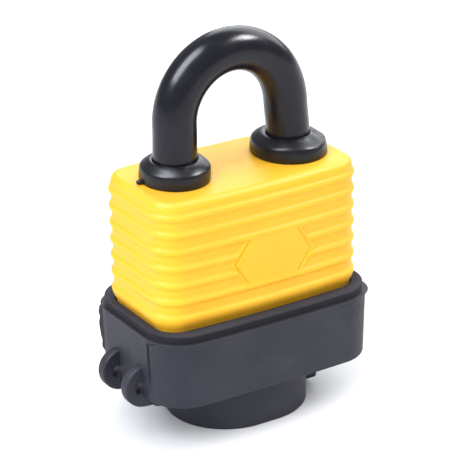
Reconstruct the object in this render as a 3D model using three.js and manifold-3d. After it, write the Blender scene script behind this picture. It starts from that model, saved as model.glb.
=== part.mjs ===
// Covered laminated padlock, in millimetres, +Z up.
// Origin: centre of the flat underside of the keyhole cover, on which the lock stands.
// X runs along the body from the hinge end (-X) to the thumb-tab end (+X); the badge faces -Y.
// The lock is drawn closed and unlocked: plug turned, locking balls drawn in.
import * as THREE from 'three';
import * as BufferGeometryUtils from 'three/addons/utils/BufferGeometryUtils.js';
import Module from 'manifold-3d';

const wasm = await Module();
wasm.setup();

// ---------- driving dimensions ----------
const FIT = 0.3;                      // gap between pieces that touch on the real lock
const SLIDE = 0.2;                    // running clearance of pins, balls and legs
const COVER = { halfX: 30, halfY: 15.4, radius: 6.5, bow: 1.4, bottom: 15, top: 66.4 };
const BEAD = { count: 7, lowest: 35.5, pitch: 4.5, height: 0.8, halfWidth: 1.15, halfCrest: 0.5 };
const COVER_BAND = [[15, 1.6], [32, 1.6], [33, 0.9], [34.2, 0.2]];  // below the lowest bead: [z, inwards]
const COVER_EDGE = [[2.2, 0.9], [0.7, 1.6], [0, 2.8]];      // rounded top edge: [below top, inwards]
const COVER_WALL = 2.2;
const COVER_ROOF = 1.8;
const BADGE = { x: 1.8, z: 46.6, halfLength: 11.1, halfTop: 7, halfHeight: 6.4, inset: 0.25 };
const BOOT = { halfX: 32.3, halfY: 20, radius: 10.3, bow: 0.9, bottom: 12.76, ledge: 30.3, rim: 32.5 };
const BOOT_DRAFT = 0.6;               // the boot is this much narrower at its foot
const RIM_INSET = 0.9;
const FOOT_ROUND = 0.5;               // rounding of the boot's and the keyhole cover's lower edges
const RIM_CHANNEL = { halfX: 30.4, halfY: 17.3, radius: 8, bow: 0.8, floor: 31.9 };
const BOOT_FLOOR = 1.84;
const KEY_WINDOW = { halfX: 13, halfY: 10, radius: 6 };
const CUP = { halfX: 19, halfY: 16.1, wall: 2.2, floor: 2.4 };
const FLAP = { bottom: 9.75, top: 12.4, left: -29, halfY: 8.6 };
const THUMB_TAB = { right: 23.5, halfY: 4, bottom: 1.4, top: 4.6 };
const LOOP = { x: -31.1, z: 15.4, radius: 5.7, width: 2.9, spacing: 11.7, right: -29.3 };
const LOOP_HOLE = { x: -32.8, z: 15.2, halfX: 1, halfZ: 1.5 };
const LEG_X = 16.65;                  // half the distance between the shackle legs
const ROD_RADIUS = 4;
const SLEEVE_RADIUS = 5.6;
const BOW = { z: 80.2, halfX: 16.3, height: 16.9 };            // the legs lean in a little to meet it
const LEAN_START_Z = 72;
const BOW_STEPS = 16;
const TOE_TIP = 51.8;
const HEEL_TIP = 28;
const SHACKLE_LIFT = 21;
const COLLAR = { bottom: 64.9, base: 66.45, top: 71.6, neckRadius: 6.3, wider: 0.8 };
const COLLAR_LEFT = { x: -16.8, radius: 8.7, edgeRadius: 8.5, edge: 70.1 };
const COLLAR_RIGHT = { x: 17, radius: 9.6, edgeRadius: 8.9, edge: 70.5 };
const STACK = { halfX: 26.7, halfY: 12.1, radius: 3.2, bow: 1.4, bottom: 15.2, top: 64.3 };
const END_PLATE = 3;
const LAMINATIONS = 12;
const PLATE_GAP = 0.1;
const RIVET = { x: 23.3, y: 8.4, radius: 1.5, headRadius: 2.3, headDepth: 1.2 };
const LEG_HOLE_RADIUS = 4.45;
const BALL = { radius: 3.7, x: 8.55, z: 57, travel: 1.8 };
const PLUG = { radius: 4.9, bottom: 15.3, top: 44 };
const HOUSING = { radius: 6.7, halfX: 3.2, reach: 11.4, top: 43.6 };
const CAM = { narrow: 4.6, wide: 6.4, bottom: 53.2, top: 60.7, stemRadius: 3.4 };
const KEYWAY = { halfWidth: 0.8, reach: 3.6, top: 38 };
const PIN = { count: 4, first: 20, pitch: 4.6, radius: 1.15, holeRadius: 1.3 };
const SHEAR_GAP = 0.12;

// ---------- materials ----------
function finish(color, roughness, metalness) {
  return new THREE.MeshStandardMaterial({ color, roughness, metalness });
}
const yellowPlastic = () => finish(0xfecd3c, 0.45, 0);
const bootRubber = () => finish(0x53535b, 0.8, 0);
const glossBlack = () => finish(0x1d1d20, 0.3, 0);
const blackVinyl = () => finish(0x2a2a30, 0.35, 0);
const hardSteel = () => finish(0xb9bbbd, 0.25, 1);
const plateSteel = () => finish(0x9b9ea1, 0.4, 1);
const brass = () => finish(0xc9a452, 0.35, 1);
const springSteel = () => finish(0x8c8f93, 0.35, 1);

// ---------- solids ----------
// Welds a geometry, drops collapsed triangles and turns its faces outwards.
function weld(geometry) {
  const bare = geometry.index ? geometry.toNonIndexed() : geometry.clone();
  for (const name of Object.keys(bare.attributes)) {
    if (name !== 'position') bare.deleteAttribute(name);
  }
  const merged = BufferGeometryUtils.mergeVertices(bare, 1e-4);
  const source = merged.index.array;
  const kept = [];
  for (let i = 0; i < source.length; i += 3) {
    const [a, b, c] = [source[i], source[i + 1], source[i + 2]];
    if (a !== b && b !== c && c !== a) kept.push(a, b, c);
  }
  if (signedVolume(merged.attributes.position, kept) < 0) kept.reverse();
  merged.setIndex(kept);
  return merged;
}

function signedVolume(position, index) {
  const [a, b, c] = [new THREE.Vector3(), new THREE.Vector3(), new THREE.Vector3()];
  let volume = 0;
  for (let i = 0; i < index.length; i += 3) {
    a.fromBufferAttribute(position, index[i]);
    b.fromBufferAttribute(position, index[i + 1]);
    c.fromBufferAttribute(position, index[i + 2]);
    volume += a.dot(b.cross(c)) / 6;
  }
  return volume;
}

function toSolid(geometry) {
  const welded = weld(geometry);
  return new wasm.Manifold(new wasm.Mesh({
    numProp: 3,
    vertProperties: new Float32Array(welded.attributes.position.array),
    triVerts: new Uint32Array(welded.index.array),
  }));
}

function fromSolid(solid) {
  const mesh = solid.getMesh();
  const geometry = new THREE.BufferGeometry();
  geometry.setAttribute('position', new THREE.BufferAttribute(mesh.vertProperties, 3));
  geometry.setIndex(new THREE.BufferAttribute(mesh.triVerts, 1));
  return geometry;
}

function cut(geometry, ...tools) {
  let solid = toSolid(geometry);
  for (const tool of tools) solid = solid.subtract(toSolid(tool));
  return fromSolid(solid);
}

function overlap(geometry, other) {
  return fromSolid(toSolid(geometry).intersect(toSolid(other)));
}

function join(geometry, ...others) {
  let solid = toSolid(geometry);
  for (const other of others) solid = solid.add(toSolid(other));
  return fromSolid(solid);
}

// Rounded rectangle whose long sides bow outwards, as a counter-clockwise list of points.
function outline({ halfX, halfY, radius, bow = 0 }, offset = 0, cornerSteps = 4, sideSteps = 3) {
  const [hx, hy, r] = [halfX + offset, halfY + offset, Math.max(radius + offset, 0.5)];
  const corners = [[1, 1], [-1, 1], [-1, -1], [1, -1]];
  const points = [];
  corners.forEach(([sx, sy], corner) => {
    for (let i = 0; i <= cornerSteps; i++) {
      const angle = (corner + i / cornerSteps) * Math.PI / 2;
      points.push([sx * (hx - r) + r * Math.cos(angle), sy * (hy - r) + r * Math.sin(angle)]);
    }
    if (corner % 2 === 0) {
      for (let i = 1; i < sideSteps; i++) {
        points.push([sx * (hx - r) * (1 - 2 * i / sideSteps), sy * hy]);
      }
    }
  });
  return points.map(([x, y]) => [x, y * (1 + (bow / hy) * (1 - (x / hx) ** 2))]);
}

// Closed solid through a stack of outlines with equal point counts: [[points, z], ...].
function loft(levels) {
  const count = levels[0][0].length;
  const positions = levels.flatMap(([points, z]) => points.flatMap(([x, y]) => [x, y, z]));
  const index = [];
  for (let level = 0; level + 1 < levels.length; level++) {
    for (let i = 0; i < count; i++) {
      const [a, b] = [level * count + i, level * count + (i + 1) % count];
      index.push(a, b, b + count, a, b + count, a + count);
    }
  }
  for (const level of [0, levels.length - 1]) {
    const contour = levels[level][0].map(([x, y]) => new THREE.Vector2(x, y));
    for (const face of THREE.ShapeUtils.triangulateShape(contour, [])) {
      const [a, b, c] = face.map((corner) => corner + level * count);
      if (level === 0) index.push(a, c, b);
      else index.push(a, b, c);
    }
  }
  const geometry = new THREE.BufferGeometry();
  geometry.setAttribute('position', new THREE.Float32BufferAttribute(positions, 3));
  geometry.setIndex(index);
  return geometry;
}

function prism(section, bottom, top, offset = 0, cornerSteps = 4, sideSteps = 3) {
  const points = outline(section, offset, cornerSteps, sideSteps);
  return loft([[points, bottom], [points, top]]);
}

// Turned solid about a line parallel to Z; the profile is [[radius, z], ...].
function turned(profile, segments = 16, x = 0, y = 0) {
  const points = profile.map(([radius, z]) => new THREE.Vector2(radius, z));
  return new THREE.LatheGeometry(points, segments).rotateX(Math.PI / 2).translate(x, y, 0);
}

function rod(radius, bottom, top, segments = 16, x = 0, y = 0) {
  return turned([[0, bottom], [radius, bottom], [radius, top], [0, top]], segments, x, y);
}

function block([x0, y0, z0], [x1, y1, z1]) {
  const box = new THREE.BoxGeometry(x1 - x0, y1 - y0, z1 - z0);
  return box.translate((x0 + x1) / 2, (y0 + y1) / 2, (z0 + z1) / 2);
}

function ball(radius, x, z, across = 12, down = 8) {
  return new THREE.SphereGeometry(radius, across, down).rotateX(Math.PI / 2).translate(x, 0, z);
}

// Extrudes a shape drawn in the X-Z plane along Y, between two Y values.
function extrudeY(shape, front, back, curveSegments = 16) {
  const options = { depth: back - front, bevelEnabled: false, curveSegments };
  return new THREE.ExtrudeGeometry(shape, options).rotateX(Math.PI / 2).translate(0, back, 0);
}

// ---------- curves ----------
// Up the heel leg, round the bow and down the toe leg, with its steps where the path bends.
class ShackleCurve extends THREE.Curve {
  constructor(heelEnd, toeEnd) {
    super();
    Object.assign(this, { heelEnd, toeEnd });
  }

  getPoint(t, target = new THREE.Vector3()) {
    const step = t * (BOW_STEPS + 4);
    const fromEnd = Math.min(step, BOW_STEPS + 4 - step);
    const side = Math.sign(step - BOW_STEPS / 2 - 2);
    if (fromEnd < 1) {
      const end = side < 0 ? this.heelEnd : this.toeEnd;
      return target.set(side * LEG_X, 0, THREE.MathUtils.lerp(end, LEAN_START_Z, fromEnd));
    }
    if (fromEnd < 2) {
      const x = THREE.MathUtils.lerp(LEG_X, BOW.halfX, fromEnd - 1);
      return target.set(side * x, 0, THREE.MathUtils.lerp(LEAN_START_Z, BOW.z, fromEnd - 1));
    }
    const angle = Math.PI * (1 - (step - 2) / BOW_STEPS);
    return target.set(BOW.halfX * Math.cos(angle), 0, BOW.z + BOW.height * Math.sin(angle));
  }

  getUtoTmapping(u) {
    return u;
  }
}

class HelixCurve extends THREE.Curve {
  constructor(radius, length, turns) {
    super();
    Object.assign(this, { radius, length, turns });
  }

  getPoint(t, target = new THREE.Vector3()) {
    const angle = 2 * Math.PI * this.turns * t;
    return target.set(this.radius * Math.cos(angle), this.radius * Math.sin(angle), this.length * t);
  }
}

function wire(path, radius, steps, sides) {
  const section = new THREE.Shape();
  for (let i = 0; i < sides; i++) {
    const angle = 2 * Math.PI * i / sides;
    const [x, y] = [radius * Math.cos(angle), radius * Math.sin(angle)];
    if (i === 0) section.moveTo(x, y);
    else section.lineTo(x, y);
  }
  section.closePath();
  return new THREE.ExtrudeGeometry(section, { steps, extrudePath: path, bevelEnabled: false });
}

// ---------- outer pieces ----------
// Hexagonal block through the cover's front wall.
function badgeBlock() {
  const { halfLength, halfTop, halfHeight } = BADGE;
  const badge = new THREE.Shape();
  const left = [[-halfTop, 1], [-halfLength, 0], [-halfTop, -1]];
  const right = [[halfTop, -1], [halfLength, 0], [halfTop, 1]];
  [...left, ...right].forEach(([dx, dz], i) => {
    const [x, z] = [BADGE.x + dx, BADGE.z + dz * halfHeight];
    if (i === 0) badge.moveTo(x, z);
    else badge.lineTo(x, z);
  });
  const front = -(COVER.halfY + COVER.bow);
  return extrudeY(badge, front - 1, front + 2);
}

function coverShell() {
  const flat = -BEAD.height;
  const steps = COVER_BAND.map(([z, inset]) => [z, -inset]);
  for (let i = 0; i < BEAD.count; i++) {
    const z = BEAD.lowest + i * BEAD.pitch;
    if (i > 0) steps.push([z - BEAD.halfWidth, flat]);
    steps.push([z - BEAD.halfCrest, 0]);
    steps.push([z + BEAD.halfCrest, 0], [z + BEAD.halfWidth, flat]);
  }
  for (const [drop, inset] of COVER_EDGE) steps.push([COVER.top - drop, -inset]);
  const outer = loft(steps.map(([z, offset]) => [outline(COVER, offset), z]));
  const roof = COVER.top - COVER_ROOF;
  const cavity = prism(COVER, COVER.bottom - 1, roof, -BEAD.height - COVER_WALL);
  const holeRadius = COLLAR.neckRadius + FIT;
  const holes = [-LEG_X, LEG_X].map((x) => rod(holeRadius, roof - 1, COVER.top + 1, 20, x));
  const panel = overlap(badgeBlock(), prism(COVER, COVER.bottom, COVER.top, -BADGE.inset));
  return cut(join(outer, panel), cavity, ...holes);
}

function bottomBoot() {
  const outer = loft([
    [outline(BOOT, -BOOT_DRAFT - FOOT_ROUND), BOOT.bottom],
    [outline(BOOT, -BOOT_DRAFT), BOOT.bottom + FOOT_ROUND],
    [outline(BOOT), BOOT.ledge],
    [outline(BOOT, -RIM_INSET), BOOT.ledge + 0.05],
    [outline(BOOT, -RIM_INSET), BOOT.rim],
  ]);
  const pocket = prism(COVER, BOOT.bottom + BOOT_FLOOR, BOOT.rim + 1, FIT - COVER_BAND[0][1]);
  const channel = prism(RIM_CHANNEL, RIM_CHANNEL.floor, BOOT.rim + 1);
  const keyWindow = prism(KEY_WINDOW, BOOT.bottom - 1, BOOT.bottom + BOOT_FLOOR + 1);
  return cut(outer, pocket, channel, keyWindow);
}

function keyholeCover() {
  const stadium = { halfX: CUP.halfX, halfY: CUP.halfY, radius: CUP.halfY - 0.05 };
  const cup = loft([
    [outline(stadium, -FOOT_ROUND, 6, 1), 0],
    [outline(stadium, 0, 6, 1), FOOT_ROUND],
    [outline(stadium, 0, 6, 1), FLAP.top],
  ]);
  const plate = block([FLAP.left, -FLAP.halfY, FLAP.bottom], [-CUP.halfX + 6, FLAP.halfY, FLAP.top]);
  const tab = block(
    [CUP.halfX - 3, -THUMB_TAB.halfY, THUMB_TAB.bottom],
    [THUMB_TAB.right, THUMB_TAB.halfY, THUMB_TAB.top],
  );
  const inside = prism(stadium, CUP.floor, FLAP.top + 1, -CUP.wall, 6, 1);
  return cut(join(cup, plate, tab), inside);
}

// A rubber strap that leaves the boot's end, goes round the bottom edge and under the boot.
function hingeLoop(centreY) {
  const fromCentre = (x) => Math.acos((x - LOOP.x) / LOOP.radius);
  const faceX = -BOOT.halfX - 0.2;
  const strap = new THREE.Shape();
  strap.absarc(LOOP.x, LOOP.z, LOOP.radius, fromCentre(faceX), 2 * Math.PI - fromCentre(LOOP.right), false);
  strap.lineTo(LOOP.right, FLAP.top);
  strap.lineTo(faceX, FLAP.top);
  strap.closePath();
  const [front, back] = [centreY - LOOP.width / 2, centreY + LOOP.width / 2];
  const hole = new THREE.Shape();
  hole.absellipse(LOOP_HOLE.x, LOOP_HOLE.z, LOOP_HOLE.halfX, LOOP_HOLE.halfZ, 0, 2 * Math.PI, false, 0);
  return cut(extrudeY(strap, front, back), extrudeY(hole, front - 1, back + 1, 6));
}

// The seal's neck fits round the leg; its foot is a little off the leg's axis.
function shackleCollar({ x, radius, edgeRadius, edge }, legX) {
  const bore = SLEEVE_RADIUS + SLIDE;
  const oval = (centreX, r, wider) => outline({ halfX: r, halfY: r, radius: r }, 0, 5, 1)
    .map(([dx, dy]) => [centreX + dx, dy * (1 + wider / r)]);
  const head = loft([
    [oval(x, radius, COLLAR.wider), COLLAR.base],
    [oval((x + legX) / 2, edgeRadius, COLLAR.wider), edge],
    [oval(legX, bore + 0.3, 0), COLLAR.top],
  ]);
  const neck = rod(COLLAR.neckRadius, COLLAR.bottom, COLLAR.base + 1, 20, legX);
  return cut(join(head, neck), rod(bore, COLLAR.bottom - 1, COLLAR.top + 1, 20, legX));
}

// ---------- shackle ----------
function shackleBar(radius, heelEnd, toeEnd) {
  return wire(new ShackleCurve(heelEnd, toeEnd), radius, BOW_STEPS + 4, 12);
}

// Ring that turns a leg down to neckRadius between two heights, with sloping shoulders.
function neckTool(neckRadius, bottom, top, slope, x) {
  const outside = ROD_RADIUS + 1;
  return turned([
    [neckRadius, bottom + slope], [outside, bottom - slope / 2], [outside, top + slope / 2],
    [neckRadius, top - slope], [neckRadius, bottom + slope],
  ], 12, x);
}

function shackle() {
  const reach = BALL.radius + SLIDE;
  const neckZ = BALL.z - SHACKLE_LIFT;
  const seat = BALL.x + BALL.travel;
  const notches = [-seat, seat].map((x) => ball(reach + 0.15, x, BALL.z));
  const neck = neckTool(2.1, neckZ - reach, neckZ + reach, 1.4, -LEG_X);
  return cut(shackleBar(ROD_RADIUS, HEEL_TIP, TOE_TIP), neck, ...notches);
}

function shackleSleeve() {
  const outside = shackleBar(SLEEVE_RADIUS, COLLAR.bottom, COLLAR.bottom);
  return cut(outside, shackleBar(ROD_RADIUS + FIT, COLLAR.bottom - 1, COLLAR.bottom - 1));
}

// ---------- laminated body ----------
function legHoles(bottom, top) {
  return [-LEG_X, LEG_X].map((x) => rod(LEG_HOLE_RADIUS, bottom, top, 10, x));
}

const rivetPlaces = [[-1, -1], [1, -1], [1, 1], [-1, 1]].map(([sx, sy]) => [sx * RIVET.x, sy * RIVET.y]);

function plateBlank(bottom, top) {
  const holes = rivetPlaces.map(([x, y]) => rod(RIVET.radius + FIT, bottom - 1, top + 1, 6, x, y));
  return cut(prism(STACK, bottom, top, 0, 2, 3), ...holes);
}

// Countersinks for the rivet heads, on the outer face of an end plate.
function countersinks(face, inwards) {
  const [wide, narrow] = [RIVET.headRadius + FIT, RIVET.radius + FIT];
  const depth = inwards * (RIVET.headDepth + FIT / 2);
  return rivetPlaces.map(([x, y]) => turned([
    [0, face - inwards], [wide, face - inwards], [wide, face], [narrow, face + depth], [0, face + depth],
  ], 10, x, y));
}

function housingOutline(offset) {
  const shape = new THREE.Shape();
  const radius = HOUSING.radius + offset;
  const halfX = HOUSING.halfX + offset;
  const angle = Math.acos(halfX / radius);
  shape.moveTo(halfX, HOUSING.reach + offset);
  shape.lineTo(-halfX, HOUSING.reach + offset);
  shape.absarc(0, 0, radius, Math.PI - angle, 2 * Math.PI + angle, false);
  shape.closePath();
  return shape;
}

function extrudeZ(shape, bottom, top, curveSegments = 8) {
  const options = { depth: top - bottom, bevelEnabled: false, curveSegments };
  return new THREE.ExtrudeGeometry(shape, options).translate(0, 0, bottom);
}

function endPlateTop() {
  const bottom = STACK.top - END_PLATE;
  const blank = plateBlank(bottom, STACK.top);
  return cut(blank, ...legHoles(bottom - 1, STACK.top + 1), ...countersinks(STACK.top, -1));
}

function endPlateBottom() {
  const top = STACK.bottom + END_PLATE;
  const face = rod(PLUG.radius + 0.6, STACK.bottom - 1, top + 1, 16);
  const blank = plateBlank(STACK.bottom, top);
  return cut(blank, face, ...countersinks(STACK.bottom, 1));
}

function lamination(bottom, top) {
  const tools = legHoles(bottom - 1, top + 1);
  if (bottom < HOUSING.top + FIT) tools.push(extrudeZ(housingOutline(FIT), bottom - 1, top + 1, 5));
  else tools.push(rod(CAM.wide + 0.8, bottom - 1, top + 1, 12));
  const reach = BALL.radius + SLIDE;
  if (top > BALL.z - reach && bottom < BALL.z + reach) {
    tools.push(block([-LEG_X, -reach - 0.1, bottom - 1], [LEG_X, reach + 0.1, top + 1]));
  }
  return cut(plateBlank(bottom, top), ...tools);
}

function rivet(x, y) {
  const [bottom, top] = [STACK.bottom + 0.1, STACK.top - 0.1];
  return turned([
    [0, bottom], [RIVET.headRadius, bottom], [RIVET.radius, bottom + RIVET.headDepth],
    [RIVET.radius, top - RIVET.headDepth], [RIVET.headRadius, top], [0, top],
  ], 8, x, y);
}

// ---------- cylinder ----------
const pinHeights = Array.from({ length: PIN.count }, (_, i) => PIN.first + i * PIN.pitch);
const keyPinStarts = [1.5, 2.3, 1.1, 1.9];   // how deep each key pin reaches towards the key

// A round bar along the pin direction: +Y in the housing, +X in the turned plug.
function pinBar(radius, from, to, z, alongX, sides = 8) {
  const bar = rod(radius, from, to, sides);
  if (alongX) bar.rotateY(Math.PI / 2);
  else bar.rotateX(-Math.PI / 2);
  return bar.translate(0, 0, z);
}

function cylinderHousing() {
  const bottom = STACK.bottom + END_PLATE + PLATE_GAP;
  const bore = rod(PLUG.radius + SHEAR_GAP, bottom - 1, HOUSING.top + 1, 24);
  const bores = pinHeights.map((z) => pinBar(PIN.holeRadius, 3, HOUSING.reach - 0.8, z, false));
  return cut(extrudeZ(housingOutline(0), bottom, HOUSING.top), bore, ...bores);
}

function keyPlug() {
  const { halfWidth, reach, top } = KEYWAY;
  const keyway = block([-reach, -halfWidth, PLUG.bottom - 1], [PLUG.radius - 1.4, halfWidth, top]);
  const bores = pinHeights.map((z) => pinBar(PIN.holeRadius, 0, PLUG.radius + 1, z, true));
  const drive = block([-2.2, -1.2, PLUG.top - 2], [2.2, 1.2, PLUG.top + 1]);
  return cut(rod(PLUG.radius, PLUG.bottom, PLUG.top, 24), keyway, drive, ...bores);
}

// Stem with a tongue in the plug's slot and an oval head that props the balls apart.
function lockingCam() {
  const tongue = block([-2, -1, PLUG.top - 1.7], [2, 1, PLUG.top + 1]);
  const stem = rod(CAM.stemRadius, PLUG.top + 0.2, CAM.top, 12);
  const oval = new THREE.Shape();
  oval.absellipse(0, 0, CAM.narrow, CAM.wide, 0, 2 * Math.PI, false, 0);
  return join(stem, tongue, extrudeZ(oval, CAM.bottom, CAM.top, 10));
}

function pinSpring(z) {
  const helix = wire(new HelixCurve(0.8, 2.1, 4), 0.14, 24, 4);
  return helix.rotateX(-Math.PI / 2).translate(0, HOUSING.reach - 3.15, z);
}

function shackleSpring() {
  const bottom = STACK.bottom + END_PLATE + 0.7;
  return wire(new HelixCurve(2.8, HEEL_TIP - 0.7 - bottom, 6), 0.4, 48, 5).translate(-LEG_X, 0, bottom);
}

// ---------- assembly ----------
const padlock = new THREE.Group();

function add(name, geometry, material) {
  const mesh = new THREE.Mesh(weld(geometry), material);
  mesh.name = name;
  padlock.add(mesh);
}

add('cover_shell', coverShell(), yellowPlastic());
add('bottom_boot', bottomBoot(), bootRubber());
add('keyhole_cover', keyholeCover(), bootRubber());
add('hinge_loop_front', hingeLoop(-LOOP.spacing / 2), bootRubber());
add('hinge_loop_rear', hingeLoop(LOOP.spacing / 2), bootRubber());
add('shackle_collar_left', shackleCollar(COLLAR_LEFT, -LEG_X), glossBlack());
add('shackle_collar_right', shackleCollar(COLLAR_RIGHT, LEG_X), glossBlack());
add('shackle', shackle(), hardSteel());
add('shackle_sleeve', shackleSleeve(), blackVinyl());
add('top_plate', endPlateTop(), plateSteel());
add('bottom_plate', endPlateBottom(), plateSteel());

const stackBottom = STACK.bottom + END_PLATE + PLATE_GAP;
const platePitch = (STACK.top - END_PLATE - stackBottom) / LAMINATIONS;
for (let i = 0; i < LAMINATIONS; i++) {
  const bottom = stackBottom + i * platePitch;
  const name = `lamination_${String(i + 1).padStart(2, '0')}`;
  add(name, lamination(bottom, bottom + platePitch - PLATE_GAP), plateSteel());
}
rivetPlaces.forEach(([x, y], i) => add(`rivet_${i + 1}`, rivet(x, y), hardSteel()));

add('cylinder_housing', cylinderHousing(), brass());
add('key_plug', keyPlug(), brass());
add('locking_cam', lockingCam(), hardSteel());
pinHeights.forEach((z, i) => {
  const shearLine = PLUG.radius - 0.1;
  add(`key_pin_${i + 1}`, pinBar(PIN.radius, keyPinStarts[i], shearLine, z, true), brass());
  const driver = pinBar(PIN.radius, PLUG.radius + SHEAR_GAP + 0.1, HOUSING.reach - 3.4, z, false);
  add(`driver_pin_${i + 1}`, driver, brass());
  add(`pin_spring_${i + 1}`, pinSpring(z), springSteel());
});
add('locking_ball_left', ball(BALL.radius, -BALL.x, BALL.z), hardSteel());
add('locking_ball_right', ball(BALL.radius, BALL.x, BALL.z), hardSteel());
add('shackle_spring', shackleSpring(), springSteel());

export default padlock;
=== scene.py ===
import math

import bpy
import numpy as np
from mathutils import Matrix, Vector
from mathutils.geometry import delaunay_2d_cdt


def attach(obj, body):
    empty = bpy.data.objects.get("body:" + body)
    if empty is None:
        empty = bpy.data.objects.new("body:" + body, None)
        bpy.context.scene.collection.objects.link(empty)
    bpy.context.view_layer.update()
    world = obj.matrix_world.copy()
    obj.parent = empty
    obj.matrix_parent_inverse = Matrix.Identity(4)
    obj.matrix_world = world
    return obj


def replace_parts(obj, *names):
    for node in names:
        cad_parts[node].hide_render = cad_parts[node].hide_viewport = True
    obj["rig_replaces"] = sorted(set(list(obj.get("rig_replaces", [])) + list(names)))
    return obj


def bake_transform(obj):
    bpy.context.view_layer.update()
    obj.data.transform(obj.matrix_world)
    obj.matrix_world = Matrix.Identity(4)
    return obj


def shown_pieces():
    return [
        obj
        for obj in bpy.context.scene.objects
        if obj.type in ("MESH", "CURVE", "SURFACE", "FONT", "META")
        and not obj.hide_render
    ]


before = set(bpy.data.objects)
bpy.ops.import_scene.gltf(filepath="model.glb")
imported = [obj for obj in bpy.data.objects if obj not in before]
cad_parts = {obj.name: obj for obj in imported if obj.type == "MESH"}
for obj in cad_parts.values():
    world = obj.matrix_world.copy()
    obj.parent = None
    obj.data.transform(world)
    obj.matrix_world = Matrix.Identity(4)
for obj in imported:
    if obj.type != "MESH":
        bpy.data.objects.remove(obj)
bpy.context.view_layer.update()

MM = 0.001

# ---------- camera, at the part's main viewing angle ----------
AZIMUTH, ELEVATION, ROLL = -31.643, 23.552, -0.969     # degrees
DISTANCE = 0.59418
TARGET = Vector((-0.000432, 0.0, 0.046572))
FOCAL_WIDTHS = 4.94544                                 # focal length over image width
SHIFT = (0.00724, 0.00325)


def add_camera():
    azimuth, elevation, roll = (math.radians(a) for a in (AZIMUTH, ELEVATION, ROLL))
    back = Vector((math.sin(azimuth) * math.cos(elevation),
                   -math.cos(azimuth) * math.cos(elevation),
                   math.sin(elevation)))
    right = (-back).cross(Vector((0, 0, 1))).normalized()
    up = right.cross(-back)
    rolled_right = math.cos(roll) * right + math.sin(roll) * up
    rolled_up = math.cos(roll) * up - math.sin(roll) * right
    camera = bpy.data.objects.new("camera", bpy.data.cameras.new("camera"))
    bpy.context.scene.collection.objects.link(camera)
    turn = Matrix((rolled_right, rolled_up, back)).transposed().to_4x4()
    camera.matrix_world = Matrix.Translation(TARGET + back * DISTANCE) @ turn
    camera.data.sensor_width = 36.0
    camera.data.lens = FOCAL_WIDTHS * 36.0
    camera.data.shift_x, camera.data.shift_y = SHIFT
    camera.data.clip_start, camera.data.clip_end = 0.05, 20.0
    bpy.context.scene.camera = camera


add_camera()

# ---------- the part's dimensions, in millimetres ----------
LEG_X = 16.65
TOE_SWAY, HEEL_SWAY = 0.3, 0.12                        # the sleeve's ends sit a little off the rod
LEAN_Z = 72.0                                          # the legs lean in above this, up to the bow
BOW_Z, BOW_HALF_X, BOW_HEIGHT = 80.2, 16.3, 16.9
SLEEVE_RADIUS, SLEEVE_BORE, ROD_RADIUS = 5.62, 4.15, 4.0
SLEEVE_FOOT = 64.9                                     # the sleeve and the seals start here
HEEL_FOOT, TOE_FOOT = 28.0, 51.8
NECK_Z, NECK_RADIUS = 36.0, 2.1
NOTCH_X, NOTCH_Z, NOTCH_RADIUS = 10.35, 57.0, 4.05     # where a locking ball bites
COVER = dict(hx=30.0, hy=15.4, r=6.5, bow=1.4)
COVER_BOTTOM, COVER_ROOF, COVER_TOP = 15.0, 64.6, 66.4
COVER_WALL = 3.0
SHOULDER_Z, SHOULDER_WIDTH = 64.3, 1.9                 # the rounded top edge
LEG_HOLE = 6.6
BEADS = [35.5 + 4.5 * i for i in range(7)]
BEAD_HEIGHT, BEAD_REACH, BEAD_CREST = 0.6, 1.35, 0.2
BAND_RECESS = 1.35                                     # the plain band that enters the boot
BADGE = [(-4.45, 53.2), (8.7, 53.2), (12.9, 46.3), (8.15, 39.9), (-4.7, 39.9), (-9.3, 46.8)]
BADGE_BEADS = (2, 3)                                   # the beads that stop at the badge
BADGE_HEIGHT, BADGE_RIDGE = 0.42, 0.48
BOOT = dict(hx=32.3, hy=20.0, r=10.3, bow=0.9)
BOOT_BOTTOM, BOOT_FLOOR, BOOT_LEDGE, BOOT_RIM = 12.6, 14.6, 30.3, 32.5
BOOT_DRAFT = 0.6
CHANNEL = dict(hx=30.4, hy=17.3, r=8.0, bow=0.8)
KEY_WINDOW = dict(hx=13.0, hy=10.0, r=6.0, bow=0.0)
CUP = dict(hx=19.0, hy=16.1, r=16.05, bow=0.0)
LOOP_X, LOOP_Z, LOOP_RADIUS, LOOP_WIDTH, LOOP_Y = -31.1, 15.4, 5.7, 2.9, 5.85
HOLE_X, HOLE_Z, HOLE_HALF_X, HOLE_HALF_Z = -32.7, 15.2, 1.0, 1.5


# ---------- outlines ----------
def smooth(t):
    """0 below 0, 1 above 1 and an S curve between."""
    t = np.clip(t, 0.0, 1.0)
    return t * t * (3 - 2 * t)


def columns(steps, fine=()):
    """Places round an outline: whole part the segment (0 the corner at +X+Y, then the back side,
    and so on), fraction the place in it. steps is points per segment; fine adds (from, to, count)."""
    places = [i + np.arange(n) / n for i, n in enumerate(steps)]
    places += [np.linspace(a, b, n) for a, b, n in fine]
    merged = np.unique(np.round(np.concatenate(places) % 8, 5))
    return merged[np.append(np.diff(merged) > 1e-4, True)]


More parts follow.
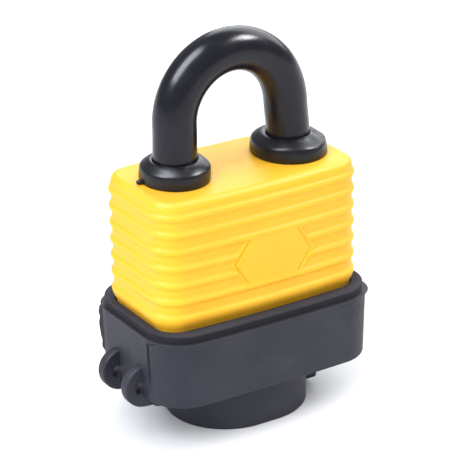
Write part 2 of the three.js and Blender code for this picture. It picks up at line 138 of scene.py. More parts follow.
def outline(spec, places, offset=0.0):
    """Points (n, 2) of a rounded rectangle with bowed long sides, pushed outwards by offset."""
    hx, hy, r, bow = spec["hx"], spec["hy"], spec["r"], spec["bow"]
    segment = np.floor(places).astype(int)
    part = places - segment
    signs = np.array([[1, 1], [-1, 1], [-1, -1], [1, -1]], float)
    corner = segment // 2
    angle = (corner + part) * math.pi / 2
    is_side = segment % 2 == 1
    flat_angle = (corner + 1) * math.pi / 2
    normal = np.where(is_side[:, None],
                      np.stack([np.cos(flat_angle), np.sin(flat_angle)], 1),
                      np.stack([np.cos(angle), np.sin(angle)], 1))
    here = signs[corner] * [hx - r, hy - r]
    there = signs[(corner + 1) % 4] * [hx - r, hy - r]
    centre = np.where(is_side[:, None], here + (there - here) * part[:, None], here)
    offset = np.broadcast_to(np.asarray(offset, float), places.shape)
    points = centre + normal * (r + offset)[:, None]
    lift = 1 + bow / hy * np.clip(1 - (points[:, 0] / hx) ** 2, 0, 1)
    return np.stack([points[:, 0], points[:, 1] * lift], 1)


def ring(spec, places, z, offset=0.0):
    """An outline at height z, as points (n, 3)."""
    points = outline(spec, places, offset)
    return np.column_stack([points, np.broadcast_to(z, len(points))])


def arc(start, end, centre, count):
    """Points of an elliptical quarter arc from start to end, whose tangents meet the centre's axes."""
    (x0, z0), (x1, z1), (cx, cz) = start, end, centre
    a, b = np.array([x0 - cx, z0 - cz]), np.array([x1 - cx, z1 - cz])
    t = np.linspace(0, math.pi / 2, count)
    return [tuple(np.array([cx, cz]) + math.cos(s) * a + math.sin(s) * b) for s in t]


# ---------- meshes ----------
def grid_faces(levels, count, closed=True, start=0):
    """Quads between successive rings of count points."""
    level, i = np.meshgrid(np.arange(levels - 1), np.arange(count if closed else count - 1),
                           indexing="ij")
    a = start + level * count + i
    b = start + level * count + (i + 1) % count
    return np.stack([a, b, b + count, a + count], -1).reshape(-1, 4)


def make(name, parts, smooth_angle=None):
    """Object from a list of (points in mm, faces with local numbers)."""
    points, faces, base = [], [], 0
    for part_points, part_faces in parts:
        points.append(np.asarray(part_points, float).reshape(-1, 3))
        faces += [[int(v) + base for v in face] for face in part_faces]
        base += len(points[-1])
    mesh = bpy.data.meshes.new(name)
    mesh.from_pydata((np.concatenate(points) * MM).tolist(), [], faces)
    mesh.validate()
    mesh.shade_smooth()
    if smooth_angle is not None:
        mesh.set_sharp_from_angle(angle=math.radians(smooth_angle))
    obj = bpy.data.objects.new(name, mesh)
    bpy.context.scene.collection.objects.link(obj)
    return obj


def lofted(rings, cap_first=False, cap_last=False):
    """(points, faces) through rings of equal counts, closed round, with optional fan caps."""
    count = len(rings[0])
    points = [np.asarray(r, float) for r in rings]
    faces = grid_faces(len(rings), count).tolist()
    total = len(rings) * count
    if cap_first:
        points.append(points[0].mean(0, keepdims=True))
        faces += [[total, (i + 1) % count, i] for i in range(count)]
        total += 1
    if cap_last:
        first = (len(rings) - 1) * count
        points.append(np.asarray(rings[-1]).mean(0, keepdims=True))
        faces += [[total, first + i, first + (i + 1) % count] for i in range(count)]
    return np.concatenate(points), faces


def closing(levels, count):
    """Quads from the last of some rings back to the first."""
    last = (levels - 1) * count
    return [[last + i, last + (i + 1) % count, (i + 1) % count, i] for i in range(count)]


def flipped(part):
    """The same part with its faces turned the other way."""
    points, faces = part
    return points, [list(face)[::-1] for face in faces]


def sheet(border, holes, z, spacing, upwards=True, shape=None):
    """Flat (points, faces) inside border (n, 2) and outside the holes, with an inner grid of points."""
    loops = [np.asarray(border, float)] + [np.asarray(h, float) for h in holes]
    points, edges = [], []
    for loop in loops:
        start = len(points)
        points += [tuple(p) for p in loop]
        edges += [(start + i, start + (i + 1) % len(loop)) for i in range(len(loop))]
    low, high = loops[0].min(0), loops[0].max(0)
    across = np.arange(low[0] + spacing / 2, high[0], spacing)
    along = np.arange(low[1] + spacing / 2, high[1], spacing)
    grid = np.stack(np.meshgrid(across, along), -1).reshape(-1, 2)
    keep = inside(grid, loops[0])
    for hole in loops[1:]:
        keep &= ~inside(grid, hole)
    for loop in loops:
        apart = np.sqrt(((grid[:, None] - loop[None]) ** 2).sum(-1)).min(1)
        keep &= apart > spacing * 0.45
    points += [tuple(p) for p in grid[keep]]
    found = delaunay_2d_cdt([Vector(p) for p in points], edges, [], 0, 1e-7)
    flat = np.array([tuple(v) for v in found[0]])
    faces = []
    for face in found[2]:
        middle = flat[list(face)].mean(0, keepdims=True)
        if inside(middle, loops[0])[0] and not any(inside(middle, h)[0] for h in loops[1:]):
            faces.append(list(face) if upwards else list(face)[::-1])
    height = np.full(len(flat), float(z)) if shape is None else z + shape(flat)
    return np.column_stack([flat, height]), faces


def inside(points, loop):
    """Whether each point lies inside a closed loop."""
    x, y = points[:, 0:1], points[:, 1:2]
    (x0, y0), (x1, y1) = loop.T, np.roll(loop, -1, 0).T
    crosses = (y0 > y) != (y1 > y)
    with np.errstate(divide="ignore", invalid="ignore"):
        at = x0 + (y - y0) / (y1 - y0) * (x1 - x0)
    return (crosses & (x < at)).sum(1) % 2 == 1


def circle(radius, count=96, x=0.0, y=0.0):
    angle = np.arange(count) * 2 * math.pi / count
    return np.stack([x + radius * np.cos(angle), y + radius * np.sin(angle)], 1)


def turned(profile, count=96, x=0.0, y=0.0, closed=False):
    """(points, faces) of a profile [(radius, z), ...] turned about a line parallel to Z."""
    rings = [np.column_stack([circle(r, count, x, y), np.full(count, z)]) for r, z in profile]
    points, faces = lofted(rings)
    if closed:
        faces += closing(len(rings), count)
    return points, faces


def wobble(x, seed, scale=1.0):
    """Smooth repeatable noise of one value, about -1 to 1."""
    random = np.random.default_rng(seed)
    total = 0.0
    for k in range(1, 6):
        phase = random.uniform(0, 2 * math.pi)
        total = total + np.sin(np.asarray(x) * scale * k * 1.37 + phase) / k
    return total / 1.8


# ---------- materials ----------
class Material:
    """A Principled material with its node tree, in the piece's own metres."""

    def __init__(self, name, roughness, metallic=0.0, **inputs):
        self.data = bpy.data.materials.new(name)
        self.data.use_nodes = True
        self.tree = self.data.node_tree
        self.shader = self.tree.nodes["Principled BSDF"]
        self.shader.inputs["Roughness"].default_value = roughness
        self.shader.inputs["Metallic"].default_value = metallic
        for key, value in inputs.items():
            self.shader.inputs[key.replace("_", " ")].default_value = value
        self.place = self.tree.nodes.new("ShaderNodeTexCoord").outputs["Object"]

    def node(self, kind, **values):
        made = self.tree.nodes.new(kind)
        for key, value in values.items():
            setattr(made, key, value)
        return made

    def link(self, a, b):
        self.tree.links.new(a, b)

    def noise(self, scale, detail=3.0, roughness=0.55, stretch=None):
        """Noise in 0 to 1, scale in features per metre."""
        node = self.node("ShaderNodeTexNoise")
        node.inputs["Scale"].default_value = scale
        node.inputs["Detail"].default_value = detail
        node.inputs["Roughness"].default_value = roughness
        if stretch is None:
            self.link(self.place, node.inputs["Vector"])
        else:
            mapping = self.node("ShaderNodeMapping")
            mapping.inputs["Scale"].default_value = stretch
            self.link(self.place, mapping.inputs["Vector"])
            self.link(mapping.outputs[0], node.inputs["Vector"])
        return node.outputs[0]

    def specks(self, scale, size):
        """1 in small scattered dots, 0 elsewhere."""
        node = self.node("ShaderNodeTexVoronoi")
        node.inputs["Scale"].default_value = scale
        self.link(self.place, node.inputs["Vector"])
        return self.ramp(node.outputs["Distance"], size * 0.5, size, 1.0, 0.0)

    def ramp(self, value, low, high, at_low=0.0, at_high=1.0):
        node = self.node("ShaderNodeMapRange")
        self.link(value, node.inputs["Value"])
        for key, number in (("From Min", low), ("From Max", high), ("To Min", at_low), ("To Max", at_high)):
            node.inputs[key].default_value = number
        return node.outputs[0]

    def multiply(self, a, b):
        node = self.node("ShaderNodeMath", operation="MULTIPLY")
        self.link(a, node.inputs[0])
        self.link(b, node.inputs[1])
        return node.outputs[0]

    def add(self, a, b):
        node = self.node("ShaderNodeMath", operation="ADD")
        self.link(a, node.inputs[0])
        self.link(b, node.inputs[1])
        return node.outputs[0]

    def mix(self, factor, first, second):
        """Colour from first to second, each a colour or an output."""
        node = self.node("ShaderNodeMix", data_type="RGBA")
        self.link(factor, node.inputs[0])
        for socket, value in ((node.inputs[6], first), (node.inputs[7], second)):
            if isinstance(value, tuple):
                socket.default_value = (*value, 1.0)
            else:
                self.link(value, socket)
        return node.outputs[2]

    def height(self):
        """The z of the place, in metres."""
        node = self.node("ShaderNodeSeparateXYZ")
        self.link(self.place, node.inputs[0])
        return node.outputs["Z"]

    def colour(self, value):
        self.link(value, self.shader.inputs["Base Color"])

    def roughness(self, value):
        self.link(value, self.shader.inputs["Roughness"])

    def bump(self, *layers):
        """layers of (height output, distance in metres)."""
        normal = None
        for value, distance in layers:
            node = self.node("ShaderNodeBump")
            node.inputs["Strength"].default_value = 1.0
            node.inputs["Distance"].default_value = distance
            self.link(value, node.inputs["Height"])
            if normal is not None:
                self.link(normal, node.inputs["Normal"])
            normal = node.outputs[0]
        self.link(normal, self.shader.inputs["Normal"])


def yellow_plastic():
    m = Material("yellow_plastic", 0.48, IOR=1.42, Specular_IOR_Level=0.42,
                 Subsurface_Weight=0.3, Subsurface_Scale=0.003, Subsurface_Radius=(1.0, 0.7, 0.15))
    cloud = m.noise(60, 2.0)
    m.colour(m.mix(m.ramp(cloud, 0.3, 0.7), (0.985, 0.485, 0.020), (1.0, 0.520, 0.030)))
    m.roughness(m.ramp(m.noise(900, 4.0), 0.25, 0.75, 0.42, 0.56))
    m.bump((m.noise(2500, 2.0), 0.000004), (m.noise(350, 2.0), 0.000012))
    return m.data


def boot_rubber():
    m = Material("boot_rubber", 0.6, IOR=1.45, Specular_IOR_Level=0.36)
    cloud = m.noise(90, 4.0)
    base = m.mix(m.ramp(cloud, 0.3, 0.7), (0.021, 0.021, 0.031), (0.030, 0.030, 0.043))
    dusty = m.multiply(m.specks(300, 0.075), m.ramp(m.noise(120, 1.0), 0.62, 0.7, 0.0, 0.5))
    dusted = m.mix(dusty, base, (0.14, 0.14, 0.16))
    z = m.height()
    ledge, rim = BOOT_LEDGE * MM, BOOT_RIM * MM
    # Painted shade: the rim's face, from the ledge up to just under the rim top, is darkened to near black.
    above_ledge = m.ramp(z, ledge - 0.00004, ledge + 0.00002)
    painted_rim_shade = m.multiply(above_ledge, m.ramp(z, rim - 0.0007, rim - 0.0003, 1.0, 0.0))
    m.colour(m.mix(painted_rim_shade, dusted, (0.010, 0.010, 0.014)))
    grain = m.ramp(m.noise(700, 4.0), 0.25, 0.75, 0.50, 0.66)
    m.roughness(m.add(grain, m.ramp(z, rim - 0.0015, rim - 0.0006, 0.0, 0.3)))
    m.bump((m.noise(3200, 3.0), 0.000010), (m.noise(300, 3.0), 0.00004))
    return m.data


def gloss_rubber():
    m = Material("gloss_rubber", 0.32, IOR=1.5, Specular_IOR_Level=0.34)
    m.colour(m.mix(m.ramp(m.noise(200, 3.0), 0.3, 0.7), (0.005, 0.005, 0.007), (0.008, 0.008, 0.011)))
    m.roughness(m.ramp(m.noise(260, 3.0), 0.3, 0.75, 0.28, 0.40))
    m.bump((m.noise(1500, 3.0), 0.0000015), (m.noise(300, 2.0), 0.000012))
    return m.data


def sleeve_vinyl():
    m = Material("sleeve_vinyl", 0.34, IOR=1.42, Specular_IOR_Level=0.36)
    m.colour(m.mix(m.ramp(m.noise(160, 4.0), 0.3, 0.7), (0.007, 0.007, 0.011), (0.011, 0.011, 0.016)))
    scuffs = m.ramp(m.noise(260, 5.0, 0.7, (1.0, 1.0, 0.25)), 0.45, 0.8)
    m.roughness(m.ramp(scuffs, 0.0, 1.0, 0.22, 0.30))
    m.bump((m.noise(2200, 3.0), 0.0000015), (m.noise(240, 2.0), 0.000006))
    return m.data


def hard_steel():
    m = Material("hard_steel", 0.2, 1.0)
    m.colour(m.mix(m.ramp(m.noise(300, 4.0), 0.3, 0.7), (0.55, 0.56, 0.57), (0.68, 0.69, 0.70)))
    m.roughness(m.ramp(m.noise(1200, 4.0, 0.6, (1.0, 1.0, 0.08)), 0.25, 0.75, 0.12, 0.34))
    m.bump((m.noise(2600, 3.0, 0.6, (1.0, 1.0, 0.06)), 0.000006))
    return m.data


def plate_steel():
    m = Material("plate_steel", 0.4, 1.0)
    stain = m.ramp(m.noise(180, 5.0), 0.35, 0.75)
    m.colour(m.mix(stain, (0.44, 0.45, 0.46), (0.33, 0.33, 0.33)))
    m.roughness(m.ramp(m.noise(700, 4.0), 0.25, 0.75, 0.28, 0.52))
    m.bump((m.noise(1800, 3.0, 0.6, (0.1, 1.0, 1.0)), 0.00001))
    return m.data


def cylinder_brass():
    m = Material("cylinder_brass", 0.3, 1.0)
    m.colour(m.mix(m.ramp(m.noise(260, 4.0), 0.3, 0.7), (0.62, 0.43, 0.15), (0.50, 0.33, 0.10)))
    m.roughness(m.ramp(m.noise(1400, 4.0), 0.25, 0.75, 0.20, 0.42))
    m.bump((m.noise(2400, 3.0), 0.000008))
    return m.data


def spring_steel():
    m = Material("spring_steel", 0.3, 1.0)
    m.colour(m.mix(m.ramp(m.noise(900, 3.0), 0.3, 0.7), (0.40, 0.41, 0.42), (0.52, 0.53, 0.54)))
    m.roughness(m.ramp(m.noise(2500, 3.0), 0.25, 0.75, 0.2, 0.4))
    m.bump((m.noise(5000, 2.0), 0.000004))
    return m.data


finishes = {maker.__name__: maker() for maker in (
    yellow_plastic, boot_rubber, gloss_rubber, sleeve_vinyl, hard_steel, plate_steel,
    cylinder_brass, spring_steel)}


def dress(obj, slot):
    obj.data.materials.clear()
    obj.data.materials.append(finishes[slot])


# ---------- cover ----------
def hexagon_distance(x, z):
    """Signed distance from the badge's outline, below 0 inside it."""
    corners = np.array(BADGE)
    best = np.full(np.shape(x), -1e9)
    for (x0, z0), (x1, z1) in zip(corners, np.roll(corners, -1, 0)):
        length = math.hypot(x1 - x0, z1 - z0)
        nx, nz = -(z1 - z0) / length, (x1 - x0) / length
        best = np.maximum(best, (x - x0) * nx + (z - z0) * nz)
    return best


def bead_profile(away):
    """Height of a bead at a distance from its crest line."""
    return BEAD_HEIGHT * (1 - smooth((np.abs(away) - BEAD_CREST) / (BEAD_REACH - BEAD_CREST)))


def cover_offset(x, front, z):
    """How far the cover's side stands out at each column, from the crest surface."""
    if z < BEADS[0]:
        return np.full_like(x, -BAND_RECESS * smooth((BEADS[0] - z) / 4.4))
    height = np.zeros_like(x)
    near = hexagon_distance(x, np.full_like(x, z))
    outside = np.where(front, smooth((near - 0.5) / 0.45), 1.0)
    for number, crest in enumerate(BEADS):
        share = outside if number in BADGE_BEADS else 1.0
        height = np.maximum(height, bead_profile(z - crest) * share)
    ridge = BADGE_RIDGE * np.exp(-((near - 0.8) / 0.36) ** 2)
    ridge = ridge * smooth((z - 39.9) / 0.5) * smooth((53.6 - z) / 0.5)
    panel = BADGE_HEIGHT * (1 - smooth((near + 0.3) / 0.45)) + ridge
    return np.where(front, np.maximum(height, panel), height) - BEAD_HEIGHT


def cover():
    fine_front = (5 + 12.5 / 47, 5 + 38 / 47, 170)
    seams = [(3.5 - 0.03, 3.5 + 0.03, 11), (7.5 - 0.03, 7.5 + 0.03, 11)]
    places = columns([20, 44, 20, 16, 20, 56, 20, 16], [fine_front, *seams])
    segment = np.floor(places).astype(int)
    front = segment == 5
    base = outline(COVER, places)
    seam = np.where(np.isin(segment, (3, 7)), np.exp(-(base[:, 1] / 0.16) ** 2), 0.0) * 0.12
    rings = [ring(COVER, places, z, -BAND_RECESS) for z in (COVER_BOTTOM, 24.0, 28.4)]
    for z in np.arange(28.8, SHOULDER_Z, 0.15):
        rings.append(ring(COVER, places, z, cover_offset(base[:, 0], front, z) + seam))
    inset = -BEAD_HEIGHT - SHOULDER_WIDTH
    for offset, z in arc((-BEAD_HEIGHT, SHOULDER_Z), (inset, COVER_TOP), (inset, SHOULDER_Z), 14):
        rings.append(ring(COVER, places, z, offset + seam))
    side = lofted(rings)
    border = rings[-1][:, :2]
    holes = [circle(LEG_HOLE, 72, x) for x in (-LEG_X, LEG_X)]

    def top_shape(flat):
        """The mould's parting line and gate mark."""
        seam_line = 0.10 * np.exp(-(flat[:, 1] / 0.18) ** 2)
        gate = np.hypot(flat[:, 0] - 1.0, flat[:, 1] - 0.4)
        dimple = -0.16 * np.exp(-(gate / 1.3) ** 4) + 0.12 * np.exp(-(gate / 0.35) ** 2)
        return seam_line * (gate > 1.2) + dimple

    top = sheet(border, holes, COVER_TOP, 0.32, True, top_shape)
    walls = []
    for hole in holes:
        loops = [np.column_stack([hole, np.full(len(hole), z)]) for z in (COVER_ROOF, COVER_TOP)]
        walls.append(flipped(lofted(loops)))
    inner_places = columns([6, 10, 6, 6, 6, 10, 6, 6])
    heights = (COVER_BOTTOM, 40.0, COVER_ROOF)
    inner = lofted([ring(COVER, inner_places, z, -COVER_WALL) for z in heights])
    roof = sheet(outline(COVER, inner_places, -COVER_WALL), holes, COVER_ROOF, 2.0, False)
    lip = lofted([rings[0], ring(COVER, places, COVER_BOTTOM, -COVER_WALL)])
    obj = make("cover", [side, top, *walls, flipped(inner), roof, flipped(lip)], 50)
    dress(obj, "yellow_plastic")
    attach(obj, "lock_body")
    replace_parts(obj, "cover_shell")


# ---------- boot ----------
def boot():
    lines = [(2.62, 2.80, 31), (3.96, 4.26, 55), (6.9, 7.1, 25), (7.9, 8.0, 13), (0.0, 0.1, 13)]
    places = columns([26, 48, 26, 22, 26, 60, 26, 22], lines)

    def marks(z):
        """Mould lines at the ends' edges, a fin of flash at the rear left, and lips at the ledge."""
        fade = float(smooth((z - 16.6) / 1.6) * smooth((29.9 - z) / 0.4))
        rough = 0.75 + 0.3 * float(wobble(z, 3, 0.4))
        fin = 1.05 * fade * rough * np.exp(-((places - 2.71) / 0.026) ** 4)
        bend = 0.16 * float(smooth((z - 28.7) / 1.1)) ** 2
        crack = np.exp(-((places - 4.07 - bend) / 0.02) ** 4)
        ridge = np.exp(-((places - 4.035 - bend) / 0.014) ** 2)
        amount = fin + fade * (0.15 * ridge - 0.75 * crack)
        for place in (7.0, 8.0):
            amount += 0.1 * fade * np.exp(-((places - place) / 0.02) ** 2)
        lip = math.exp(-((z - 30.0) / 0.35) ** 2)
        amount += lip * 0.85 * np.exp(-(((places - 6.62) / 0.22) ** 2))
        return amount + lip * 0.35 * np.exp(-(((places - 2.6) / 0.2) ** 2))

    def draft(z):
        """The side leans in towards the foot."""
        return -BOOT_DRAFT * (BOOT_LEDGE - z) / (BOOT_LEDGE - BOOT_BOTTOM)

    rings = []
    foot = BOOT_BOTTOM + 0.5
    for offset, z in arc((-1.0, BOOT_BOTTOM), (draft(foot), foot), (-1.0, foot), 8):
        rings.append(ring(BOOT, places, z, offset))
    for z in [*np.linspace(13.8, 29.3, 40), 29.5, 29.7, 29.85]:
        rings.append(ring(BOOT, places, z, draft(z) + marks(z)))
    for offset, z in arc((0.0, 30.16), (-0.14, BOOT_LEDGE), (-0.14, 30.16), 5):
        rings.append(ring(BOOT, places, z, offset + marks(z)))
    rings.append(ring(BOOT, places, BOOT_LEDGE, -0.66))
    for offset, z in ((-0.8, 30.28), (-0.95, 30.32), (-1.0, 30.45), (-0.95, 31.0), (-0.9, 31.7)):
        rings.append(ring(BOOT, places, z, offset))
    for offset, z in arc((-0.86, 32.3), (-1.06, BOOT_RIM), (-1.06, 32.3), 5):
        rings.append(ring(BOOT, places, z, offset))
    slope = ((0.35, BOOT_RIM), (0.1, 32.47), (-0.15, 32.4), (-0.4, 32.3), (-0.8, 32.22), (-1.2, 32.16))
    for offset, z in slope:
        rings.append(ring(CHANNEL, places, z, offset))
    pocket = -BAND_RECESS + 0.35
    for step, z in ((0.35, 32.1), (0.06, 31.9), (0, 31.7), (0, 26.0), (0, 18.0), (0, BOOT_FLOOR)):
        rings.append(ring(COVER, places, z, pocket + step))
    outer = lofted(rings)
    window_places = columns([10, 8, 10, 8, 10, 8, 10, 8])
    window = outline(KEY_WINDOW, window_places)
    floor = sheet(rings[-1][:, :2], [window], BOOT_FLOOR, 1.6, True)
    under = sheet(rings[0][:, :2], [outline(KEY_WINDOW, window_places, 0.25)], BOOT_BOTTOM, 1.2, False)
    side = [ring(KEY_WINDOW, window_places, BOOT_BOTTOM, 0.25)]
    side += [ring(KEY_WINDOW, window_places, z, 0.0) for z in (BOOT_BOTTOM + 0.25, BOOT_FLOOR)]
    obj = make("boot", [outer, floor, under, flipped(lofted(side))], 50)
    dress(obj, "boot_rubber")
    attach(obj, "lock_body")
    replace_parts(obj, "bottom_boot")


# ---------- keyhole cover ----------
def rounded_slab(x0, x1, half_y, z0, z1, radius, edge, corner=1.0):
    """(points, faces) of a flat bar with rounded plan corners and rounded edges."""
    spec = dict(hx=(x1 - x0) / 2, hy=half_y, r=corner, bow=0.0)
    places = columns([8, 16, 8, 8, 8, 16, 8, 8])
    levels = arc((-edge, z0), (0.0, z0 + edge), (-edge, z0 + edge), 5)
    levels += arc((0.0, z1 - edge), (-edge, z1), (-edge, z1 - edge), 5)
    rings = [ring(spec, places, z, offset) + [(x0 + x1) / 2, 0, 0] for offset, z in levels]
    return lofted(rings, True, True)


def keyhole_cover():
    places = columns([44, 12, 44, 6, 44, 12, 44, 6])
    rings = []
    for offset, z in arc((-0.45, 0.0), (0.0, 0.45), (-0.45, 0.45), 7):
        rings.append(ring(CUP, places, z, offset - 0.05))
    for z in np.linspace(1.0, 11.8, 18):
        rings.append(ring(CUP, places, z, -0.05 * (1 - z / 12)))
    for offset, z in arc((0.0, 12.0), (-0.4, 12.4), (-0.4, 12.0), 5):
        rings.append(ring(CUP, places, z, offset))
    for offset, z in arc((-1.8, 12.4), (-2.2, 12.0), (-1.8, 12.0), 5):
        rings.append(ring(CUP, places, z, offset))
    for offset, z in ((-2.2, 9.0), (-2.2, 6.0), (-2.25, 3.6)):
        rings.append(ring(CUP, places, z, offset))
    for offset, z in arc((-2.3, 3.2), (-3.1, 2.4), (-3.1, 3.2), 6):
        rings.append(ring(CUP, places, z, offset))
    wall = lofted(rings)
    floor = sheet(rings[-1][:, :2], [], 2.4, 1.2, True)
    base = sheet(rings[0][:, :2], [], 0.0, 1.2, False)
    ribs = turned([(5.0, 2.35), (5.0, 3.0), (5.2, 3.2), (6.0, 3.2), (6.2, 3.0), (6.2, 2.35)], 64)
    plate = rounded_slab(-29.0, -17.4, 8.6, 9.35, 12.4, 1.2, 0.45, 1.4)
    tab = rounded_slab(17.4, 23.5, 4.0, 1.4, 4.6, 1.2, 0.7, 1.3)
    obj = make("keyhole_flap", [wall, floor, base, ribs, plate, tab], 50)
    dress(obj, "boot_rubber")
    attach(obj, "keyhole_cover_body")
    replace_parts(obj, "keyhole_cover")


# ---------- hinge loops ----------
def hinge_loop(name, node, centre_y):
    """A rubber strap bent into a C between the boot's end and the keyhole cover's plate."""
    wall_x = -31.75
    stations = 56
    tail_end = np.array([-28.0, 9.4])
    outer_from = math.acos((wall_x - LOOP_X) / LOOP_RADIUS)
    angle = np.linspace(outer_from, 1.5 * math.pi, stations - 9)
    outer = np.stack([LOOP_X + LOOP_RADIUS * np.cos(angle), LOOP_Z + LOOP_RADIUS * np.sin(angle)], 1)
    outer = np.concatenate([outer, outer[-1] + (tail_end - outer[-1]) * np.linspace(0, 1, 10)[1:, None]])
    hole_from = math.acos((wall_x - HOLE_X) / HOLE_HALF_X)
    round_steps = 38
    angle = np.linspace(hole_from, 2 * math.pi - hole_from, round_steps)
    hole = np.stack([HOLE_X + HOLE_HALF_X * np.cos(angle), HOLE_Z + HOLE_HALF_Z * np.sin(angle)], 1)
    tail = np.linspace(0, 1, stations - round_steps + 1)[1:]
    corner = np.array([wall_x + 0.75, 12.4])
    down = hole[-1] + (corner - hole[-1]) * np.minimum(tail * 2, 1)[:, None]
    along = np.maximum(tail * 2 - 1, 0)[:, None] * np.array([tail_end[0] - corner[0], 0.0])
    inner = np.concatenate([hole, down + along])
    inner[0] = (wall_x, inner[0][1])
    section = superellipse(40, 9.0)
    rings = []
    for a, b in zip(inner, outer):
        across = section[:, 0:1]
        points = (a + b) / 2 + (b - a) / 2 * across
        y = centre_y + section[:, 1] * LOOP_WIDTH / 2
        rings.append(np.column_stack([points[:, 0], y, points[:, 1]]))
    obj = make(name, [lofted(rings, True, True)], 60)
    dress(obj, "boot_rubber")
    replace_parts(obj, node)
    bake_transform(obj)


def superellipse(count, power):
    """Section with rounded corners, from -1 to 1 each way."""
    angle = np.arange(count) * 2 * math.pi / count
    c, s = np.cos(angle), np.sin(angle)
    reach = (np.abs(c) ** power + np.abs(s) ** power) ** (-1 / power)
    return np.stack([c * reach, s * reach], 1)


# ---------- seals ----------
def rounded(profile):
    """Cuts each corner of an open line."""
    line = np.array(profile, float)
    ahead = line[:-1] * 0.75 + line[1:] * 0.25
    behind = line[:-1] * 0.25 + line[1:] * 0.75
    line = np.concatenate([line[:1], np.stack([ahead, behind], 1).reshape(-1, 2), line[-1:]])
    return [tuple(point) for point in line]


def collar(name, node, leg_x, base_x, radius, bulge):
    """Seal round a leg: bulge is its outer side from foot to lip, as (share of the wall, z)."""
    bore = SLEEVE_RADIUS + 0.08
    neck = 6.3
    side = rounded([(neck + share * (radius - neck), z) for share, z in bulge])
    profile = [(bore, SLEEVE_FOOT), (neck, SLEEVE_FOOT), (neck, COVER_TOP + 0.02), *side]
    profile += [(bore + 0.25, 71.78), (bore + 0.06, 71.7), (bore, 71.5), (bore, 68.0)]
    points, faces = turned(profile, 120, leg_x, closed=True)
    reach = np.hypot(points[:, 0] - leg_x, points[:, 1])
    drift = (1 - smooth((points[:, 2] - COVER_TOP) / 5.0)) * smooth((reach - neck - 0.05) / 0.6)
    points[:, 0] += (base_x - leg_x) * drift
    points[:, 1] *= 1 + 0.1 * smooth((reach - bore - 0.6) / 1.6)
    if leg_x > 0:
        crease(points, leg_x)
    parts = [(points, faces)]
    if leg_x < 0:
        parts.append(flash_tab(base_x - radius))
    obj = make(name, parts, 50)
    dress(obj, "gloss_rubber")
    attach(obj, "lock_body")
    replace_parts(obj, node)


def crease(points, x):
    """Presses shallow folds into the seal's sloping top."""
    angle = np.degrees(np.arctan2(points[:, 1], points[:, 0] - x))
    radius = np.hypot(points[:, 0] - x, points[:, 1])
    share = smooth((points[:, 2] - 69.4) / 0.6) * smooth((radius - SLEEVE_RADIUS - 0.25) / 0.4)
    folds = ((-75.0, 14.0, 0.28), (-38.0, 9.0, 0.4), (-5.0, 14.0, 0.3), (60.0, 12.0, 0.2))
    for centre, width, depth in folds:
        points[:, 2] -= share * depth * np.exp(-((angle - centre) / width) ** 2)


def flash_tab(x):
    """A little tongue of flash at the foot of the left seal."""
    rings = []
    for t in np.linspace(0, 1, 12):
        size = 0.72 * (1 - 0.15 * t) * math.sqrt(max(1 - t ** 6, 0.02))
        angle = np.arange(14) * 2 * math.pi / 14
        rings.append(np.column_stack([
            np.full(14, x + 0.6 - 1.9 * t),
            1.2 + 0.3 * t + size * np.cos(angle) * 1.2,
            67.08 + size * np.sin(angle) - 0.1 * t,
        ]))
    return lofted(rings, True, True)


# ---------- shackle ----------
def shackle_path(heel, toe, leg_step, bow_steps):
    """Places (x, z, inwards x, inwards z) along the bar's centre line, heel to toe."""
    def leg(heights):
        lean = smooth((np.asarray(heights) - LEAN_Z) / (BOW_Z - LEAN_Z))
        return list(zip(LEG_X + (BOW_HALF_X - LEG_X) * lean, heights))

    heel_leg = [(-x, z) for x, z in leg(np.arange(heel, BOW_Z - leg_step / 2, leg_step))]
    toe_leg = leg(np.arange(toe, BOW_Z - leg_step / 2, leg_step)[::-1])
    turn = np.linspace(0, math.pi, bow_steps + 1)
    bow = [(-BOW_HALF_X * math.cos(t), BOW_Z + BOW_HEIGHT * math.sin(t)) for t in turn]
    line = np.array(heel_leg + bow + toe_leg, float)
    line[:, 0] -= 0.25 * smooth((line[:, 1] - LEAN_Z) / 16.0)
    along = np.gradient(line, axis=0)
    along /= np.linalg.norm(along, axis=1, keepdims=True)
    return [(x, z, dz, -dx) for (x, z), (dx, dz) in zip(line, along)]


def bar_ring(place, radius, count):
    """A ring round the bar at a place on its centre line."""
    x, z, inx, inz = place
    if radius > ROD_RADIUS + 0.2:
        x += (TOE_SWAY if x > 0 else HEEL_SWAY) * (1 - smooth((z - 68.0) / 16.0))
    angle = np.arange(count) * 2 * math.pi / count
    along_in = radius * np.cos(angle)
    return np.column_stack([x + inx * along_in, radius * np.sin(angle), z + inz * along_in])


def sleeve():
    count, chamfer = 72, 4.95
    path = shackle_path(SLEEVE_FOOT, SLEEVE_FOOT, 1.6, 96)
    heel, toe = [(x, z + 0.3, *inwards) for x, z, *inwards in (path[0], path[-1])]
    rings = [bar_ring(path[0], SLEEVE_BORE, count), bar_ring(path[0], chamfer, count)]
    rings += [bar_ring(place, SLEEVE_RADIUS, count) for place in (heel, *path[1:-1], toe)]
    rings += [bar_ring(path[-1], chamfer, count), bar_ring(path[-1], SLEEVE_BORE, count)]
    rings += [bar_ring(place, SLEEVE_BORE, count) for place in path[::-1][1:-1:6]]
    points, faces = lofted(rings)
    faces += closing(len(rings), count)
    obj = make("vinyl_sleeve", [(points, faces)], 50)
    dress(obj, "sleeve_vinyl")
    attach(obj, "shackle_body")
    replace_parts(obj, "shackle_sleeve")


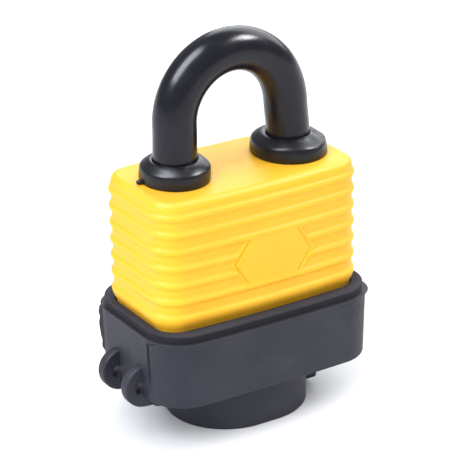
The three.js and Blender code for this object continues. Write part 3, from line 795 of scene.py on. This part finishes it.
def steel_shackle():
    """The bar, with chamfered ends, a neck on the heel leg and a ball notch in each leg."""
    count, step, chamfer = 64, 0.4, 1.2
    path = shackle_path(HEEL_FOOT, TOE_FOOT, step, 72)
    rings = []
    for number, place in enumerate(path):
        x, z = place[:2]
        side = -1.0 if x < 0 else 1.0
        radius = ROD_RADIUS
        from_end = min(number, len(path) - 1 - number) * step
        if from_end < chamfer:
            radius -= 0.9 * (1 - from_end / chamfer)
        if x < 0 and z < NECK_Z + 9:
            widening = float(smooth((abs(z - NECK_Z) - 2.5) / 1.5))
            radius = min(radius, NECK_RADIUS + (ROD_RADIUS - NECK_RADIUS) * widening)
        points = bar_ring(place, radius, count)
        inward = (points[:, 0] - side * NOTCH_X) * side
        reach2 = NOTCH_RADIUS ** 2 - points[:, 1] ** 2 - (points[:, 2] - NOTCH_Z) ** 2
        pressed = np.sqrt(np.clip(reach2, 0, None))
        hit = (reach2 > 0) & (inward < pressed) & (z < LEAN_Z)
        points[:, 0] = np.where(hit, side * (NOTCH_X + pressed), points[:, 0])
        rings.append(points)
    obj = make("steel_shackle", [lofted(rings, True, True)], 40)
    dress(obj, "hard_steel")
    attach(obj, "shackle_body")
    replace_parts(obj, "shackle")


cover()
boot()
keyhole_cover()
hinge_loop("hinge_strap_front", "hinge_loop_front", -LOOP_Y)
hinge_loop("hinge_strap_rear", "hinge_loop_rear", LOOP_Y)
collar("seal_left", "shackle_collar_left", HEEL_SWAY - LEG_X, -16.8, 8.8,
       [(0.92, 66.42), (1, 66.8), (1, 67.6), (0.99, 69.0), (0.96, 69.75), (0.88, 70.2),
        (0.62, 70.75), (0.36, 71.36), (0.18, 71.68), (0.02, 71.8)])
collar("seal_right", "shackle_collar_right", TOE_SWAY + LEG_X, 17.05, 9.7,
       [(0.92, 66.42), (1, 66.8), (1, 67.5), (0.97, 68.6), (0.91, 69.75), (0.82, 70.3),
        (0.58, 70.85), (0.34, 71.38), (0.18, 71.68), (0.02, 71.8)])
sleeve()
steel_shackle()

# ---------- the CAD's own inner pieces ----------
replaced = {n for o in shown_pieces() for n in o.get("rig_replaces", [])}
for name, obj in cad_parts.items():
    if name in replaced:
        continue
    if name.startswith(("lamination", "top_plate", "bottom_plate")):
        dress(obj, "plate_steel")
    elif name.startswith(("rivet", "locking")):
        dress(obj, "hard_steel")
    elif "spring" in name:
        dress(obj, "spring_steel")
    else:
        dress(obj, "cylinder_brass")


# ---------- stage and light ----------
def place_light(name, light, azimuth, elevation, distance, colour):
    """Aims a light at the part from a direction, with azimuth 0 in front."""
    light.color = colour
    obj = bpy.data.objects.new(name, light)
    bpy.context.scene.collection.objects.link(obj)
    a, e = math.radians(azimuth), math.radians(elevation)
    back = Vector((math.sin(a) * math.cos(e), -math.cos(a) * math.cos(e), math.sin(e)))
    obj.location = Vector((0, 0, 0.05)) + back * distance
    obj.rotation_mode = "QUATERNION"
    obj.rotation_quaternion = back.to_track_quat("Z", "Y")
    return obj


def paper_floor():
    bpy.ops.mesh.primitive_plane_add(size=6, location=(0, 0, -0.00005))
    floor = bpy.context.object
    floor.name = "floor"
    paper = bpy.data.materials.new("paper")
    paper.use_nodes = True
    shader = paper.node_tree.nodes["Principled BSDF"]
    shader.inputs["Base Color"].default_value = (0.85, 0.85, 0.865, 1)
    shader.inputs["Roughness"].default_value = 0.7
    shader.inputs["Emission Color"].default_value = (1.0, 1.0, 1.0, 1)
    shader.inputs["Emission Strength"].default_value = 0.03
    floor.data.materials.append(paper)


def pale_room():
    world = bpy.data.worlds.new("studio")
    bpy.context.scene.world = world
    world.use_nodes = True
    background = world.node_tree.nodes["Background"]
    background.inputs[0].default_value = (0.93, 0.96, 1.0, 1)
    background.inputs[1].default_value = 0.38


def soft_daylight():
    """Two wide suns for the light that surfaces scatter. They leave no highlights."""
    for name, strength, width, azimuth, elevation, colour in (
        ("overhead", 1.65, 60, -10, 68, (1.0, 0.99, 0.97)),
        ("window", 2.6, 50, -68, 41, (0.93, 0.96, 1.0)),
    ):
        light = bpy.data.lights.new(name, "SUN")
        light.energy = strength
        light.angle = math.radians(width)
        obj = place_light(name, light, azimuth, elevation, 1.0, colour)
        obj.visible_glossy = False


def softboxes():
    """Panels for the highlights. Only the backdrop also lights what scatters."""
    for name, watts, across, high, azimuth, elevation, distance, colour in (
        ("softbox_left", 25.0, 0.48, 0.8, -93, 56, 1.0, (0.88, 0.92, 1.0)),
        ("softbox_right", 13.0, 0.32, 0.28, 64, 48, 1.0, (1.0, 1.0, 1.0)),
        ("backdrop", 26.0, 2.0, 1.2, 124, 32, 1.6, (0.96, 0.98, 1.0)),
    ):
        light = bpy.data.lights.new(name, "AREA")
        light.shape = "RECTANGLE"
        light.size, light.size_y = across, high
        light.energy = watts
        obj = place_light(name, light, azimuth, elevation, distance, colour)
        obj.visible_diffuse = name == "backdrop"


paper_floor()
pale_room()
soft_daylight()
softboxes()
bpy.context.scene.view_settings.view_transform = "Standard"
